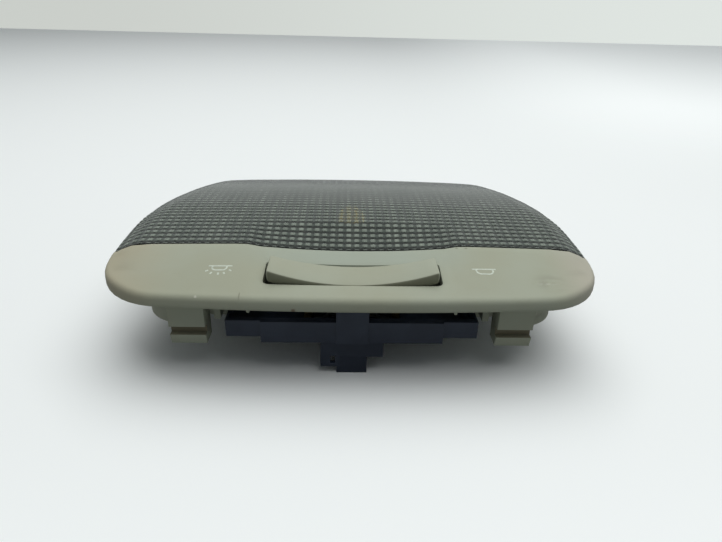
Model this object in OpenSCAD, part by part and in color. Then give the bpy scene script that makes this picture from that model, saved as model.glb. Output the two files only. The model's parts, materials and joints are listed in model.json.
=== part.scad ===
// Roof-mounted interior light: one moulded housing with its bezel, a smoked prismatic
// lens, a three-position rocker switch and the switch and bulb carrier behind it.
// The room side faces +Z and the rocker is at the front, -Y.

/* [Body outline] */
// Width over the widest point of the outline
body_w = 145; // [135:1:160]
// Depth of the outline, front edge to rear edge
body_d = 103.2; // [101:0.2:115]
// Height of the crown above the lowest point
crown_z = 35.8; // [34:0.1:39]
// Height of the rim that lies against the headlining
rim_z = 24.5; // [22:0.1:25.5]
// Bow radius of the front edge
front_bow_r = 710; // [400:10:1500]
// Radius of the two front corners
front_corner_r = 20.5; // [16:0.5:24]
// Bow radius of the sides
side_bow_r = 220; // [200:10:400]
// How far the widest point lies in front of the centre
widest_y = 33.5; // [28:0.5:36]
// Radius of the two rear corners
rear_corner_r = 29.6; // [24:0.2:32]
// Bow radius of the rear edge
rear_bow_r = 240; // [180:10:500]

/* [Crown] */
// Crown radius from front to rear
crown_ry = 190; // [160:5:300]
// Crown radius from side to side
crown_rx = 2400; // [1200:100:4000]
// Width of the band along each side that rolls down
roll_w = 10; // [6:0.5:14]
// Drop of that band at the outline
roll_drop = 3.5; // [1:0.1:4.5]
// Radius of the upper edge
edge_r = 2.6; // [1.8:0.1:3.4]
// Radius of the lower edge
under_r = 1.9; // [1.2:0.1:2.2]

/* [Finger scoop] */
// Distance of the scoop's middle from the front of the body
scoop_from_front = 21.35; // [21:0.05:22]
// Depth of the scoop at its middle
scoop_depth = 2.3; // [0.5:0.1:2.6]
// Half length of the scoop from front to rear
scoop_half = 18; // [15:0.5:19]
// Half width of the scoop
scoop_w = 33; // [31:0.5:38]
// Width of the soft step at each side of the scoop
scoop_step = 7; // [4:0.5:9]

/* [Lens] */
// Distance of the lens front edge from the front of the body
lens_from_front = 25.2; // [22:0.2:30]
// Gap between the lens and the bezel
lens_gap = 0.4; // [0.2:0.05:0.8]
// Wall of the lens
lens_wall = 2.2; // [1.8:0.1:2.6]
// Pitch of the prisms
prism_pitch = 2.5; // [2.5:0.1:4]
// Height of each prism
prism_h = 0.4; // [0.1:0.05:0.6]
// Thickness of the seat under the lens
seat_t = 1.6; // [1.2:0.1:2.4]

/* [Rocker] */
// Length of the rocker opening
opening_l = 50.2; // [46:0.2:56]
// Depth of the rocker opening
opening_d = 10.9; // [10:0.1:12]
// Distance of the opening from the front of the body
opening_from_front = 6.95; // [6.5:0.05:7.6]
// Gap at each end of the rocker
rocker_end_gap = 1.2; // [1.1:0.1:2]
// Gap in front of and behind the rocker
rocker_side_gap = 0.35; // [0.25:0.05:0.6]
// Height of the rocker's top at its middle
rocker_mid_z = 29.5; // [28.8:0.1:29.9]
// Radius of the hollow in the rocker's top
rocker_dish_r = 69; // [60:1:90]
// Height of the rocker's pivot
pivot_z = 24.9; // [24.6:0.1:25.2]
// Radius of the pivot pins
pivot_r = 1.5; // [1.2:0.1:1.6]
// Running clearance of the pins in the carrier
pivot_play = 0.06; // [0.03:0.01:0.1]
// Tilt to each side in degrees
rocker_tilt = 6.5; // [4:0.5:6.5]

/* [Housing] */
// Wall of the housing
wall = 1.8; // [1.4:0.1:2.2]
// Width of the flat rim round the bezel
rim_w = 3.4; // [3:0.1:5]
// Height of the flat underside of the bezel plate
ceiling_z = 27.4; // [27:0.1:27.8]
// Distance of the skirt from the front of the body
skirt_from_front = 7.4; // [7:0.1:8]
// Half width of the skirt under the rim
skirt_half_w = 60; // [57:0.5:62]
// Corner radius of the skirt
skirt_r = 12; // [8:0.5:16]
// Height of the skirt below the rim
skirt_h = 8; // [6:0.5:10]
// Rear end of the skirt's side walls
skirt_rear = 22; // [18:0.5:26]
// Thickness of the ribs round the chamber
rib_t = 1.6; // [1.2:0.1:2]
// Half width of the lamp chamber
chamber_half_w = 50; // [46:0.5:52]
// Front of the lamp chamber
chamber_front = 22; // [20:0.5:23]
// Distance of the lamp chamber's rear wall from the rear of the body
chamber_from_rear = 10.6; // [10.2:0.1:16]
// Height of the underside of the lamp chamber
chamber_z = 6; // [5:0.5:6.5]
// Radius of the chamber's upright edges
chamber_r = 6; // [3:0.5:9]
// Middle of each snap tower from the centre
tower_x = 46.8; // [45:0.1:48]
// Width of each snap tower
tower_w = 10.2; // [8:0.1:12]
// Depth of each snap tower
tower_d = 7.75; // [7:0.25:8.5]
// Height of the foot of each snap tower
tower_z = 10.3; // [8:0.1:11]
// Height of the notch in each snap tower
notch_h = 2.7; // [2:0.1:3.2]
// How far each snap tower stands in front of the skirt
tower_proud = 1.55; // [1:0.05:2.5]
// Radius of the screw bosses
boss_r = 3; // [2.6:0.1:3.4]
// Place of each rear post from the centre
rear_post_x = 34; // [28:1:38]
// Place of each rear rib from the centre
rear_rib_x = 24; // [20:1:28]
// Radius of the rear posts
rear_post_r = 3.5; // [2.5:0.1:4]

/* [Carrier] */
// Half length of the carrier bar
bar_half_l = 37; // [34:0.5:38.5]
// Height of the carrier bar's lower edge
bar_z = 13.3; // [12.8:0.1:14]
// Height of the bar
bar_h = 5.3; // [4:0.1:6]
// Thickness of the carrier's floor and walls
plate_t = 2; // [1.6:0.1:2.4]
// Half length of the proud middle of the bar
bar_mid_half_l = 26; // [22:0.5:30]
// Width of the centre column
column_w = 9.2; // [8:0.2:10]
// Width of the connector block
block_w = 18.4; // [17.6:0.2:20]
// Height of the block's underside at its right
block_z = 5.95; // [4.5:0.05:7]
// Height of the block's key at its left
key_z = 2.45; // [1.5:0.05:3.5]
// Width of the lug under the block
lug_w = 9; // [7:0.2:9.6]
// Spacing of the connector blades
blade_pitch = 4.5; // [4:0.1:4.8]
// Width of the contact strips
strip_w = 2.4; // [1.8:0.1:2.6]
// Thickness of the contact strips
strip_t = 0.8; // [0.6:0.1:0.8]

/* [Bulb] */
// Diameter of the bulb
bulb_d = 10.2; // [8:0.1:10.4]
// Length of the bulb over all
bulb_l = 26.8; // [24:0.2:28]
// Height of the bulb's axis
bulb_z = 20.5; // [19:0.1:21]
// Distance of the bulb's base from the rear of the chamber
bulb_from_rear = 35; // [34.5:0.5:38]

/* [Hidden] */

eps = 0.01;
beige = [0.64, 0.64, 0.57];
slate = [0.13, 0.16, 0.21];
smoke = [0.3, 0.31, 0.28];
front_y = -body_d / 2;
rear_y = body_d / 2;
part_y = front_y + lens_from_front;
crown_y = 0.75;
scoop_y = front_y + scoop_from_front;

// Arcs of the right half of the outline, each as centre x, centre y and radius.
// A corner arc touches both of its neighbours from the inside.
function meet(a, ra, b, rb, side) = let(d = norm(b - a), t = (ra * ra - rb * rb + d * d) / (2 * d),
    h = sqrt(ra * ra - t * t), u = (b - a) / d) a + u * t + side * h * [-u[1], u[0]];
front_c = [0, front_y + front_bow_r];
side_c = [body_w / 2 - side_bow_r, -widest_y];
rear_c = [0, rear_y - rear_bow_r];
corner_f = meet(front_c, front_bow_r - front_corner_r, side_c, side_bow_r - front_corner_r, 1);
corner_r = meet(side_c, side_bow_r - rear_corner_r, rear_c, rear_bow_r - rear_corner_r, 1);
function heading(from, to) = atan2(to[1] - from[1], to[0] - from[0]);
turn_1 = heading(front_c, corner_f);
turn_2 = heading(side_c, corner_f);
turn_3 = heading(side_c, corner_r);
turn_4 = heading(rear_c, corner_r);
EDGES = [[front_c, front_bow_r, -90, turn_1], [corner_f, front_corner_r, turn_1, turn_2],
    [side_c, side_bow_r, turn_2, turn_3], [corner_r, rear_corner_r, turn_3, turn_4],
    [rear_c, rear_bow_r, turn_4, 90]];

function sq(a) = a * a;
function side_x(y) = side_c[0] + sqrt(sq(side_bow_r) - sq(y - side_c[1]));
function roll(x, y) = roll_drop * sq(max(0, roll_w + abs(x) - side_x(y)) / roll_w);
// The scoop is a dish towards the rocker that starts with a soft step at each side.
step_share = 0.46;
scoop_in = scoop_w - scoop_step;
function scoop_x(x) = abs(x) >= scoop_w ? 0
    : abs(x) <= scoop_in ? 1 - (1 - step_share) * sq(x / scoop_in)
    : step_share * (0.5 + 0.5 * cos(180 * (abs(x) - scoop_in) / scoop_step));
function scoop(x, y) = scoop_depth * scoop_x(x) * max(0, 1 - sq((y - scoop_y) / scoop_half));
function crown(x, y) = crown_z - crown_ry + sqrt(sq(crown_ry) - sq(y - crown_y))
    - crown_rx + sqrt(sq(crown_rx) - sq(x));
function skin(x, y) = crown(x, y) - roll(x, y) - scoop(x, y);

// Right-hand point of the outline inset by d, on the line y, with its outward direction
function on_line(y, d) = [for (e = EDGES) let(r = e[1] - d, s = (y - e[0][1]) / r)
    if (abs(s) <= 1 && asin(s) >= e[2] - eps && asin(s) <= e[3] + eps)
    [e[0][0] + r * cos(asin(s)), y, cos(asin(s)), s]][0];
// The same on a column x, at the front for dir = -1 and at the rear for dir = 1
function on_column(x, d, dir) = [for (e = EDGES) let(r = e[1] - d, c = (abs(x) - e[0][0]) / r)
    if (abs(c) <= 1 && dir * acos(c) >= e[2] - eps && dir * acos(c) <= e[3] + eps)
    [x, e[0][1] + dir * r * sin(acos(c)), sign(x) * c, dir * sin(acos(c))]][0];
// The whole outline inset by d, with a point for each step of angle
function outline(d, step = 4) = let(half = [for (e = EDGES)
    let(n = max(2, ceil((e[3] - e[2]) / step))) for (i = [0:n - 1])
    let(a = e[2] + (e[3] - e[2]) * i / n) e[0] + (e[1] - d) * [cos(a), sin(a)]])
    concat(half, [[0, rear_y - d]], [for (i = [len(half) - 1:-1:1]) [-half[i][0], half[i][1]]]);

// One closed solid under the skin, from the flat cut at lines[0] to the front or rear edge.
// Its top is a grid of lines and columns, raised to a prism in each cell where rise is above 0,
// and its edge is rounded above and, for a low radius above 0, below.
function keep(cols, w) = [for (x = cols) if (x < w - 0.7) x];
function flip(v) = [for (i = [len(v) - 1:-1:0]) v[i]];
function starts(v) = [for (i = 0, s = 0; i < len(v); s = s + len(v[i]), i = i + 1) s];
module skin_solid(lines, cols, dir, base, low, rise = 0) {
    rows = [for (y = lines) let(w = on_line(y, edge_r)[0], c = keep(cols, w))
        [for (x = concat([-w], -flip(c), [0], c, [w])) [x, y, skin(x, y) - rise]]];
    at = starts(rows);
    last = len(rows) - 1;
    half = [for (r = rows) (len(r) - 3) / 2];
    cap = [for (k = [half[last]:-1:-half[last]]) let(x = rows[last][half[last] + 1 + k][0])
        on_column(x, edge_r, dir)];
    rim = concat([for (y = lines) on_line(y, edge_r)], cap,
        [for (i = [last:-1:0]) let(p = on_line(lines[i], edge_r)) [-p[0], p[1], -p[2], p[3]]]);
    m = len(rim);
    cap_at = at[last] + len(rows[last]);
    centre_at = cap_at + len(cap);
    function both_have(j) = min(half[j], half[j + 1]);
    cells = rise <= 0 ? [] : [for (j = [0:last - 1], k = [-both_have(j):both_have(j) - 1])
        let(a = rows[j][half[j] + 1 + k], b = rows[j + 1][half[j + 1] + 2 + k], c = (a + b) / 2)
        [c[0], c[1], skin(c[0], c[1])]];
    ring_at = centre_at + len(cells);
    // Each ring is inset from the outline and drops from the skin or stands above the base.
    bends = concat([for (a = [18:18:90]) [edge_r * (1 - sin(a)), edge_r * (1 - cos(a)), -1]],
        low > 0 ? [for (a = [0:22.5:90]) [low * (1 - cos(a)), -1, low * (1 - sin(a))]] : [[0, -1, 0]]);
    function ring_point(i, b) = let(p = rim[i], flat = i == 0 || i == m - 1,
        x = flat ? sign(p[0]) * on_line(p[1], b[0])[0] : p[0] + p[2] * (edge_r - b[0]),
        y = flat ? p[1] : p[1] + p[3] * (edge_r - b[0]))
        [x, y, b[1] >= 0 ? skin(p[0], p[1]) - rise - b[1] : base + b[2]];
    points = concat([for (r = rows) each r],
        [for (p = cap) [p[0], p[1], skin(p[0], p[1]) - rise]], cells,
        [for (b = bends, i = [0:m - 1]) ring_point(i, b)], [[0, lines[0], base + edge_r]]);
    function mid(j) = at[j] + half[j] + 1;
    function rim_id(i) = i <= last ? at[i] + len(rows[i]) - 1
        : i <= last + len(cap) ? cap_at + i - last - 1 : at[m - 1 - i];
    cell_at = starts([for (j = [0:max(0, last - 1)]) [for (k = [1:2 * both_have(j)]) k]]);
    top = [for (j = [0:last - 1]) let(n = both_have(j)) each concat(
        [for (k = [-n:n - 1]) let(q = [mid(j) + k, mid(j) + k + 1, mid(j + 1) + k + 1, mid(j + 1) + k],
            c = centre_at + cell_at[j] + k + n)
            each rise > 0 ? [for (s = [0:3]) [q[s], q[(s + 1) % 4], c]] : [q]],
        [for (s = [1, -1]) each let(a = [for (k = [n:half[j] + 1]) mid(j) + s * k],
            b = [for (k = [n:half[j + 1] + 1]) mid(j + 1) + s * k], t = concat(
            [for (i = [0:len(a) - 2]) [a[i], a[i + 1], b[0]]],
            [for (i = [0:len(b) - 2]) [a[len(a) - 1], b[i + 1], b[i]]]))
            s > 0 ? t : [for (f = t) flip(f)]])];
    n = half[last];
    crest = concat([for (k = [-n:n - 1])
        [mid(last) + k, mid(last) + k + 1, cap_at + n - k - 1, cap_at + n - k]],
        [[mid(last) + n, mid(last) + n + 1, cap_at], [mid(last) - n, cap_at + 2 * n, mid(last) - n - 1]]);
    function ring_id(b, i) = b < 0 ? rim_id(i) : ring_at + b * m + i;
    lip = len(bends) - 1;
    sides = [for (b = [-1:lip - 1], i = [0:m - 2])
        [ring_id(b + 1, i), ring_id(b + 1, i + 1), ring_id(b, i + 1), ring_id(b, i)]];
    under = [for (i = [m - 1:-1:0]) ring_id(lip, i)];
    // The cut is a fan of triangles round a point inside it.
    border = concat([for (b = [lip:-1:0]) ring_id(b, 0)], [for (i = [len(rows[0]) - 1:-1:0]) i],
        [for (b = [0:lip]) ring_id(b, m - 1)]);
    k = len(border);
    cut = [for (i = [0:k - 1]) [border[i], border[(i + 1) % k], ring_at + len(bends) * m]];
    faces = concat(top, crest, sides, [under], cut);
    polyhedron(points, dir > 0 ? [for (f = faces) flip(f)] : faces, convexity = 6);
}

// Plates and blocks given by their low and high corners, and a metal ribbon bent in a plane
module block(low, high) { translate(low) cube(high - low); }
module both() {
    children();
    mirror([1, 0, 0]) children();
}
function unit(v) = v / norm(v);
function side_step(p, i, h) = let(a = i > 0 ? unit(p[i] - p[i - 1]) : unit(p[1] - p[0]),
    b = i < len(p) - 1 ? unit(p[i + 1] - p[i]) : a, u = unit([-a[1] - b[1], a[0] + b[0]]))
    p[i] + u * h / (u * [-a[1], a[0]]);
module ribbon(path, t) {
    polygon(concat([for (i = [0:len(path) - 1]) side_step(path, i, t / 2)],
        [for (i = [len(path) - 1:-1:0]) side_step(path, i, -t / 2)]));
}
// Extrudes a profile drawn in Y and Z along X, and one drawn in X and Z along Y
module along_x(x0, x1) {
    translate([x0, 0, 0]) rotate([90, 0, 90]) linear_extrude(x1 - x0) children();
}
module along_y(y0, y1) {
    translate([0, y1, 0]) rotate([90, 0, 0]) linear_extrude(y1 - y0) children();
}
module rounded(half_w, y0, y1, r) {
    w = 2 * half_w;
    union() {
        translate([-half_w + r, y0]) square([w - 2 * r, y1 - y0]);
        translate([-half_w, y0 + r]) square([w, y1 - y0 - 2 * r]);
        for (x = [-half_w + r, half_w - r], y = [y0 + r, y1 - r]) translate([x, y]) circle(r, $fn = 36);
    }
}

// Joins equal rings of points to one solid
module loft(rings) {
    n = len(rings[0]);
    k = len(rings);
    sides = [for (j = [0:k - 2], i = [0:n - 1]) let(a = j * n + i, b = j * n + (i + 1) % n)
        each [[b, a, b + n], [a, a + n, b + n]]];
    ends = [[for (i = [0:n - 1]) i], [for (i = [n - 1:-1:0]) (k - 1) * n + i]];
    polyhedron([for (r = rings) each r], concat(sides, ends), convexity = 4);
}
function arc(c, r, a0, a1, n) = [for (i = [0:n]) let(a = a0 + (a1 - a0) * i / n)
    c + r * [cos(a), sin(a)]];
module rod_y(x, y0, y1, z, r, n = 32) {
    translate([x, y1, z]) rotate([90, 0, 0]) cylinder(r = r, h = y1 - y0, $fn = n);
}
module post(x, y, z0, z1, r, n = 32) {
    translate([x, y, z0]) cylinder(r = r, h = z1 - z0, $fn = n);
}

// Shared planes and places
seat_z = rim_z + seat_t;
lens_z = seat_z + 0.1;
lens_y = part_y + lens_gap / 2;
bezel_y = part_y - lens_gap / 2;
opening_y0 = front_y + opening_from_front;
opening_y1 = opening_y0 + opening_d;
opening_mid = (opening_y0 + opening_y1) / 2;
skirt_y = front_y + skirt_from_front;
skirt_z = rim_z - skirt_h;
carrier_y1 = part_y + 0.4;
carrier_gap = 1;
chamber_y0 = max(-chamber_front, carrier_y1 + carrier_gap);
chamber_rear = rear_y - chamber_from_rear;
floor_z = chamber_z + wall;
bulb_y = chamber_rear - bulb_from_rear;
holder_y0 = bulb_y - 4;
holder_y1 = bulb_y + 7;
bar_y = skirt_y - tower_proud;
bar_top = bar_z + bar_h;
plate_z = bar_z + plate_t;
gap_half = bar_half_l + 1;
screw_x = bar_half_l - 7;
screw_y = opening_y1 + 2.75;
screw_r = 1.2;
fit = 0.1;
tab_ys = [-10, 14];
tab_x = (chamber_half_w + skirt_half_w - wall) / 2;
tab_w = 6;

// Housing: bezel plate, lens seat, skirt, snap towers and lamp chamber in one moulding
bezel_rows = concat([bezel_y], [for (a = [0:9:72]) corner_f[1] - (front_corner_r - edge_r) * sin(a)]);
bezel_cols = concat([for (x = [5:5:scoop_in]) x], [for (x = [scoop_in + 1.5:2:scoop_w]) x],
    [for (x = [scoop_w + 2:5:body_w / 2 - 10]) x], [body_w / 2 - 6.5, body_w / 2 - 3.5]);
module bezel() {
    difference() {
        skin_solid(bezel_rows, bezel_cols, -1, rim_z, under_r);
        intersection() {
            translate([0, 0, rim_z - 1]) linear_extrude(ceiling_z - rim_z + 1) polygon(outline(rim_w, 6));
            block([-body_w, front_y, 0], [body_w, bezel_y - wall, crown_z]);
        }
        translate([0, 0, rim_z]) linear_extrude(crown_z) rounded(opening_l / 2, opening_y0, opening_y1, 1.6);
    }
}
module seat() {
    intersection() {
        translate([0, 0, rim_z]) linear_extrude(seat_t) polygon(outline(0.4, 5));
        block([-body_w, bezel_y - wall, 0], [body_w, body_d, crown_z]);
    }
}
// The skirt reaches up to the bezel plate in front and into the seat behind it.
module skirt() {
    y1 = skirt_rear;
    difference() {
        intersection() {
            difference() {
                translate([0, 0, skirt_z]) linear_extrude(skirt_h + 4)
                    rounded(skirt_half_w, skirt_y, y1 + skirt_r + 1, skirt_r);
                translate([0, 0, skirt_z - 1]) linear_extrude(skirt_h + 6)
                    rounded(skirt_half_w - wall, skirt_y + wall, y1 + skirt_r, skirt_r - wall);
            }
            along_x(-body_w, body_w) polygon([[front_y, 0], [y1, 0], [y1, seat_z - 0.5],
                [bezel_y - 1, seat_z - 0.5], [bezel_y - 1, ceiling_z + 0.5], [front_y, ceiling_z + 0.5]]);
        }
        block([-gap_half, skirt_y - 1, 0], [gap_half, skirt_y + wall + 1, crown_z]);
    }
    both() block([gap_half, skirt_y, skirt_z], [gap_half + wall, skirt_y + skirt_h, ceiling_z + 0.5]);
}
module snap_tower() {
    y0 = skirt_y - tower_proud;
    y1 = y0 + tower_d;
    foot_h = 3.2;
    top = tower_z + foot_h;
    difference() {
        along_x(tower_x - tower_w / 2, tower_x + tower_w / 2) polygon([[y0, ceiling_z + 0.5],
            [y0 + 0.1, top + notch_h], [y0 + 1.35, top + notch_h - 0.15], [y0 + 1.35, top],
            [y0 + 0.25, top], [y0 + 0.9, tower_z], [y1 - 1, tower_z], [y1, ceiling_z + 0.5]]);
        block([tower_x - tower_w / 2 + wall, y0 + foot_h, tower_z - 1],
            [tower_x + tower_w / 2 - wall, y1 - 2, rim_z]);
    }
}
module chamber_shell() {
    translate([0, 0, chamber_z]) linear_extrude(seat_z - chamber_z)
        rounded(chamber_half_w, chamber_y0, chamber_rear, chamber_r);
    both() post(rear_post_x, chamber_rear - rear_post_r - 1.5, 0, chamber_z + 1, rear_post_r);
    for (x = [-rear_rib_x, rear_rib_x]) block([x - rib_t / 2, chamber_rear - 1, skirt_z],
        [x + rib_t / 2, chamber_rear + 5, seat_z - 0.5]);
    both() for (y = [-2, skirt_rear - 2]) block([chamber_half_w - 1, y - rib_t / 2, skirt_z],
        [skirt_half_w - 1, y + rib_t / 2, seat_z - 0.5]);
    // Stake through the rear clip
    rod_y(0, chamber_rear - 1, chamber_rear + 1.6, clip_hole_z, clip_hole_r - fit);
}
module housing() {
    difference() {
        union() {
            bezel();
            seat();
            skirt();
            both() snap_tower();
            chamber_shell();
            for (x = [-screw_x, screw_x]) post(x, screw_y, plate_z, ceiling_z + 0.5, boss_r);
        }
        translate([0, 0, floor_z]) linear_extrude(crown_z)
            rounded(chamber_half_w - wall, chamber_y0 + wall, chamber_rear - wall, chamber_r - wall);
        for (x = [-screw_x, screw_x]) post(x, screw_y, plate_z - 1, plate_z + 9, screw_r + 0.05);
        block([-blade_pitch - strip_w / 2 - 0.4, chamber_y0 - 1, plate_z - 0.2],
            [blade_pitch + strip_w / 2 + 0.4, chamber_y0 + wall + 1, plate_z + strip_t + 0.3]);
        both() for (y = tab_ys) block([tab_x - 1.2, y - tab_w / 2 - 0.3, rim_z - 1],
            [tab_x + 2, y + tab_w / 2 + 0.3, crown_z]);
    }
}

// Lens: the cells of its prisms are centred on X, and the front row is cut in half
grid = [for (x = [prism_pitch:prism_pitch:body_w / 2]) x];
lens_rows = [for (y = [0:prism_pitch:rear_y - edge_r - 0.5 - lens_y]) lens_y + y];
module lens() {
    top_r = crown_ry - 2 * lens_wall;
    difference() {
        skin_solid(lens_rows, grid, 1, lens_z, 0, prism_h);
        intersection() {
            translate([0, 0, rim_z]) linear_extrude(crown_z) polygon(outline(lens_wall + edge_r, 6));
            translate([-body_w, crown_y, crown_z - crown_ry]) rotate([0, 90, 0])
                cylinder(r = top_r, h = 2 * body_w, $fn = 200);
            block([-body_w, lens_y + lens_wall, 0], [body_w, body_d, crown_z]);
        }
    }
    // Snap tabs that hook under the seat
    both() for (y = tab_ys) along_y(y - tab_w / 2, y + tab_w / 2)
        polygon([[tab_x - 0.9, crown_z - 4], [tab_x + 0.7, crown_z - 4], [tab_x + 0.7, rim_z - 0.2],
            [tab_x + 1.7, rim_z - 0.5], [tab_x + 0.4, rim_z - 3], [tab_x - 0.9, rim_z - 3]]);
}

// Reflector: a sheet trough with closed ends round the bulb
module reflector() {
    half_l = chamber_half_w - wall - 3;
    t = 0.8;
    y0 = chamber_y0 + wall + 0.3;
    y1 = chamber_rear - wall - 0.3;
    half = (y1 - y0) / 2 - 2;
    r = half * 1.31;
    c = [(y0 + y1) / 2 + 0.5, floor_z + 0.3 + t / 2 + r];
    a = acos(half / r);
    bowl = arc(c, r, 180 + a, 360 - a, 24);
    // The window holds the bulb holder and reaches to where the sheet clears the contacts' feet.
    play = 0.005;
    sheet_r = r + t / 2;
    rise = low_z + strip_t / 2 + contact_t + play - floor_z - 0.3;
    window_y0 = min(holder_y0 - 0.5, c[0] - sqrt(sq(sheet_r) - sq(sheet_r - rise)));
    difference() {
        union() {
            along_x(-half_l, half_l) ribbon(concat([[y0, bowl[0][1]]], bowl, [[y1, bowl[0][1]]]), t);
            both() along_x(half_l - t, half_l) polygon(bowl);
        }
        block([-holder_half_w - 0.5, window_y0, 0], [holder_half_w + 0.5, holder_y1 + 0.5, crown_z]);
    }
}

// Rocker: a dished key on two pins, with a contact seat and a tip that rides on the leaf
rocker_half = opening_l / 2 - rocker_end_gap;
rocker_y0 = opening_y0 + rocker_side_gap;
rocker_y1 = opening_y1 - rocker_side_gap;
hub_r = 2.6;
pin_l = 1.9;
tip_r = 0.4;
tip_z = plate_z + 2.45;
rocker_t = 3.2;
stem_y0 = opening_mid - 2;
stem_y1 = opening_mid + 1.5;
function dish(x) = rocker_mid_z + rocker_dish_r - sqrt(sq(rocker_dish_r) - sq(x));
// Section of the rocker on x, inset by d, with its upper edges rounded by r
function rocker_ring(x, d, r) = let(top = dish(x) - d, low = dish(x) - rocker_t + d,
    y0 = rocker_y0 + d, y1 = rocker_y1 - d) [for (p = concat([[y1, low]],
    arc([y1 - r, top - r], r, 0, 90, 2), arc([y0 + r, top - r], r, 90, 180, 2), [[y0, low]]))
    [x, p[0], p[1]]];
module rocker() {
    union() {
        loft(concat([rocker_ring(-rocker_half, 0.6, 0.4), rocker_ring(0.2 - rocker_half, 0.2, 0.6)],
            [for (i = [-9:9]) rocker_ring(i / 9 * (rocker_half - 0.6), 0, 0.7)],
            [rocker_ring(rocker_half - 0.2, 0.2, 0.6), rocker_ring(rocker_half, 0.6, 0.4)]));
        rod_y(0, rocker_y0 - pin_l, rocker_y1 + pin_l, pivot_z, pivot_r);
        rod_y(0, rocker_y0 + 0.3, rocker_y1 - 0.3, pivot_z, hub_r);
        block([-hub_r, rocker_y0 + 0.3, pivot_z], [hub_r, rocker_y1 - 0.3, rocker_mid_z - 2.8]);
        block([-3.2, bridge_y0, pivot_z - hub_r], [3.2, bridge_y1, pivot_z - 1]);
        along_y(stem_y0, stem_y1) polygon([[-hub_r + 0.3, pivot_z - 1], [-tip_r, tip_z],
            [tip_r, tip_z], [hub_r - 0.3, pivot_z - 1]]);
        rod_y(0, stem_y0, stem_y1, tip_z, tip_r);
    }
}
// Contact spring on the underside of the hub
bridge_half = 13;
bridge_y0 = stem_y1 + 0.3;
bridge_y1 = rocker_y1 - 0.2;
module contact_bridge() {
    t = 0.4;
    z = pivot_z - hub_r - t / 2;
    arm = [[3.6, z], [bridge_half - 2.5, z - 1.7], [bridge_half, z - 2.5]];
    along_y(bridge_y0, bridge_y1) ribbon(concat([for (p = flip(arm)) [-p[0], p[1]]], arm), t);
}

// Carrier: a tray behind the bezel with the rocker's bearings and the connector block
blade_y = opening_y0 + 2.85;
block_y0 = skirt_y - 0.8;
block_y1 = block_y0 + 11;
shell_t = 1.6;
column_y = bar_y - 1.65;
bearing_t = 2.5;
module switch_carrier() {
    difference() {
        union() {
            block([-bar_half_l, bar_y, bar_z], [bar_half_l, carrier_y1, plate_z]);
            block([-bar_half_l, bar_y, bar_z], [bar_half_l, bar_y + plate_t, bar_top]);
            block([-bar_mid_half_l, bar_y - 1.05, bar_z - 1.3],
                [bar_mid_half_l, bar_y + 1, bar_top + 0.2]);
            both() block([bar_half_l - shell_t, bar_y, bar_z], [bar_half_l, carrier_y1, bar_top]);
            both() block([8, carrier_y1 - shell_t, bar_z], [bar_half_l, carrier_y1, bar_top]);
            block([-column_w / 2, column_y, bar_z - 1.3], [column_w / 2, opening_y0, ceiling_z]);
            block([-3, opening_y1, bar_z], [3, opening_y1 + bearing_t, ceiling_z]);
            block([-block_w / 2, block_y0, block_z], [block_w / 2, block_y1, bar_z + 1]);
            block([-block_w / 2, block_y0, key_z], [-block_w / 2 + shell_t, block_y1, block_z + 1]);
            block([-block_w / 2, block_y0, key_z], [-lug_w / 2 + 1, block_y0 + shell_t, block_z + 1]);
            block([-lug_w / 2, block_y0 + 0.35, 0], [lug_w / 2, block_y0 + shell_t, block_z + 1]);
        }
        // Socket, hole in the key and slots for the blades
        block([-block_w / 2 + shell_t, block_y0 + shell_t, -1],
            [block_w / 2 - shell_t, block_y1 - shell_t, bar_z - 1.8]);
        block([-lug_w / 2 - 1.9, block_y0 - 1, key_z + 1.15],
            [-lug_w / 2 - 0.4, block_y0 + shell_t + 1, block_z + 0.25]);
        for (i = [-1:1]) block([i * blade_pitch - strip_w / 2 - 0.05, blade_y - strip_t / 2 - 0.05, 8],
            [i * blade_pitch + strip_w / 2 + 0.05, blade_y + strip_t / 2 + 0.05, plate_z + 1]);
        rod_y(0, rocker_y0 - pin_l - 0.3, opening_y1 + bearing_t + 1, pivot_z, pivot_r + pivot_play);
        // Passage for the supply strip under the rear bearing
        block([-strip_w / 2 - 0.05, opening_y1 - 1, plate_z],
            [strip_w / 2 + 0.05, opening_y1 + bearing_t + 1, plate_z + strip_t + 0.05]);
        for (x = [-screw_x, screw_x]) post(x, screw_y, bar_z - 1, plate_z + 1, screw_r + fit);
    }
}
module carrier_screw(side) {
    head = 1.6;
    translate([side * screw_x, screw_y, 0]) difference() {
        union() {
            post(0, 0, bar_z - head, bar_z, 2.6);
            post(0, 0, bar_z - 0.5, plate_z + 7.5, screw_r);
        }
        for (a = [0, 90]) rotate(a) block([-1.5, -0.3, bar_z - head - 1], [1.5, 0.3, bar_z - head + 0.9]);
    }
}

// Stamped contacts: three blades in the connector and the runs they lead to
run_z = plate_z + strip_t / 2;
low_z = floor_z + strip_t / 2 + 0.1;
bend_y = chamber_y0 + wall + 0.6 + strip_t / 2;
blade_low = key_z + 2.5;
strip_y1 = holder_y0 - 1;
foot_y = strip_y1 - 2.5;
module strip_x(x) {
    along_x(x - strip_w / 2, x + strip_w / 2) children();
}
// The supply blade is the middle one, and its foot reaches under the left bulb contact.
module terminal_supply() {
    strip_x(0) ribbon([[blade_y, blade_low], [blade_y, run_z], [bend_y, run_z],
        [bend_y, low_z], [strip_y1, low_z]], strip_t);
    block([-contact_x - strip_w / 2, foot_y, low_z - strip_t / 2],
        [0, strip_y1, low_z + strip_t / 2]);
}
module switch_strip() {
    y = bridge_y1 - 1;
    strip_x(blade_pitch) ribbon([[y - 1, run_z + 3.9], [y, run_z + 4.3], [y + 1.2, run_z + 3],
        [y + 2.6, run_z], [bend_y, run_z], [bend_y, low_z], [strip_y1, low_z]], strip_t);
}
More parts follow.
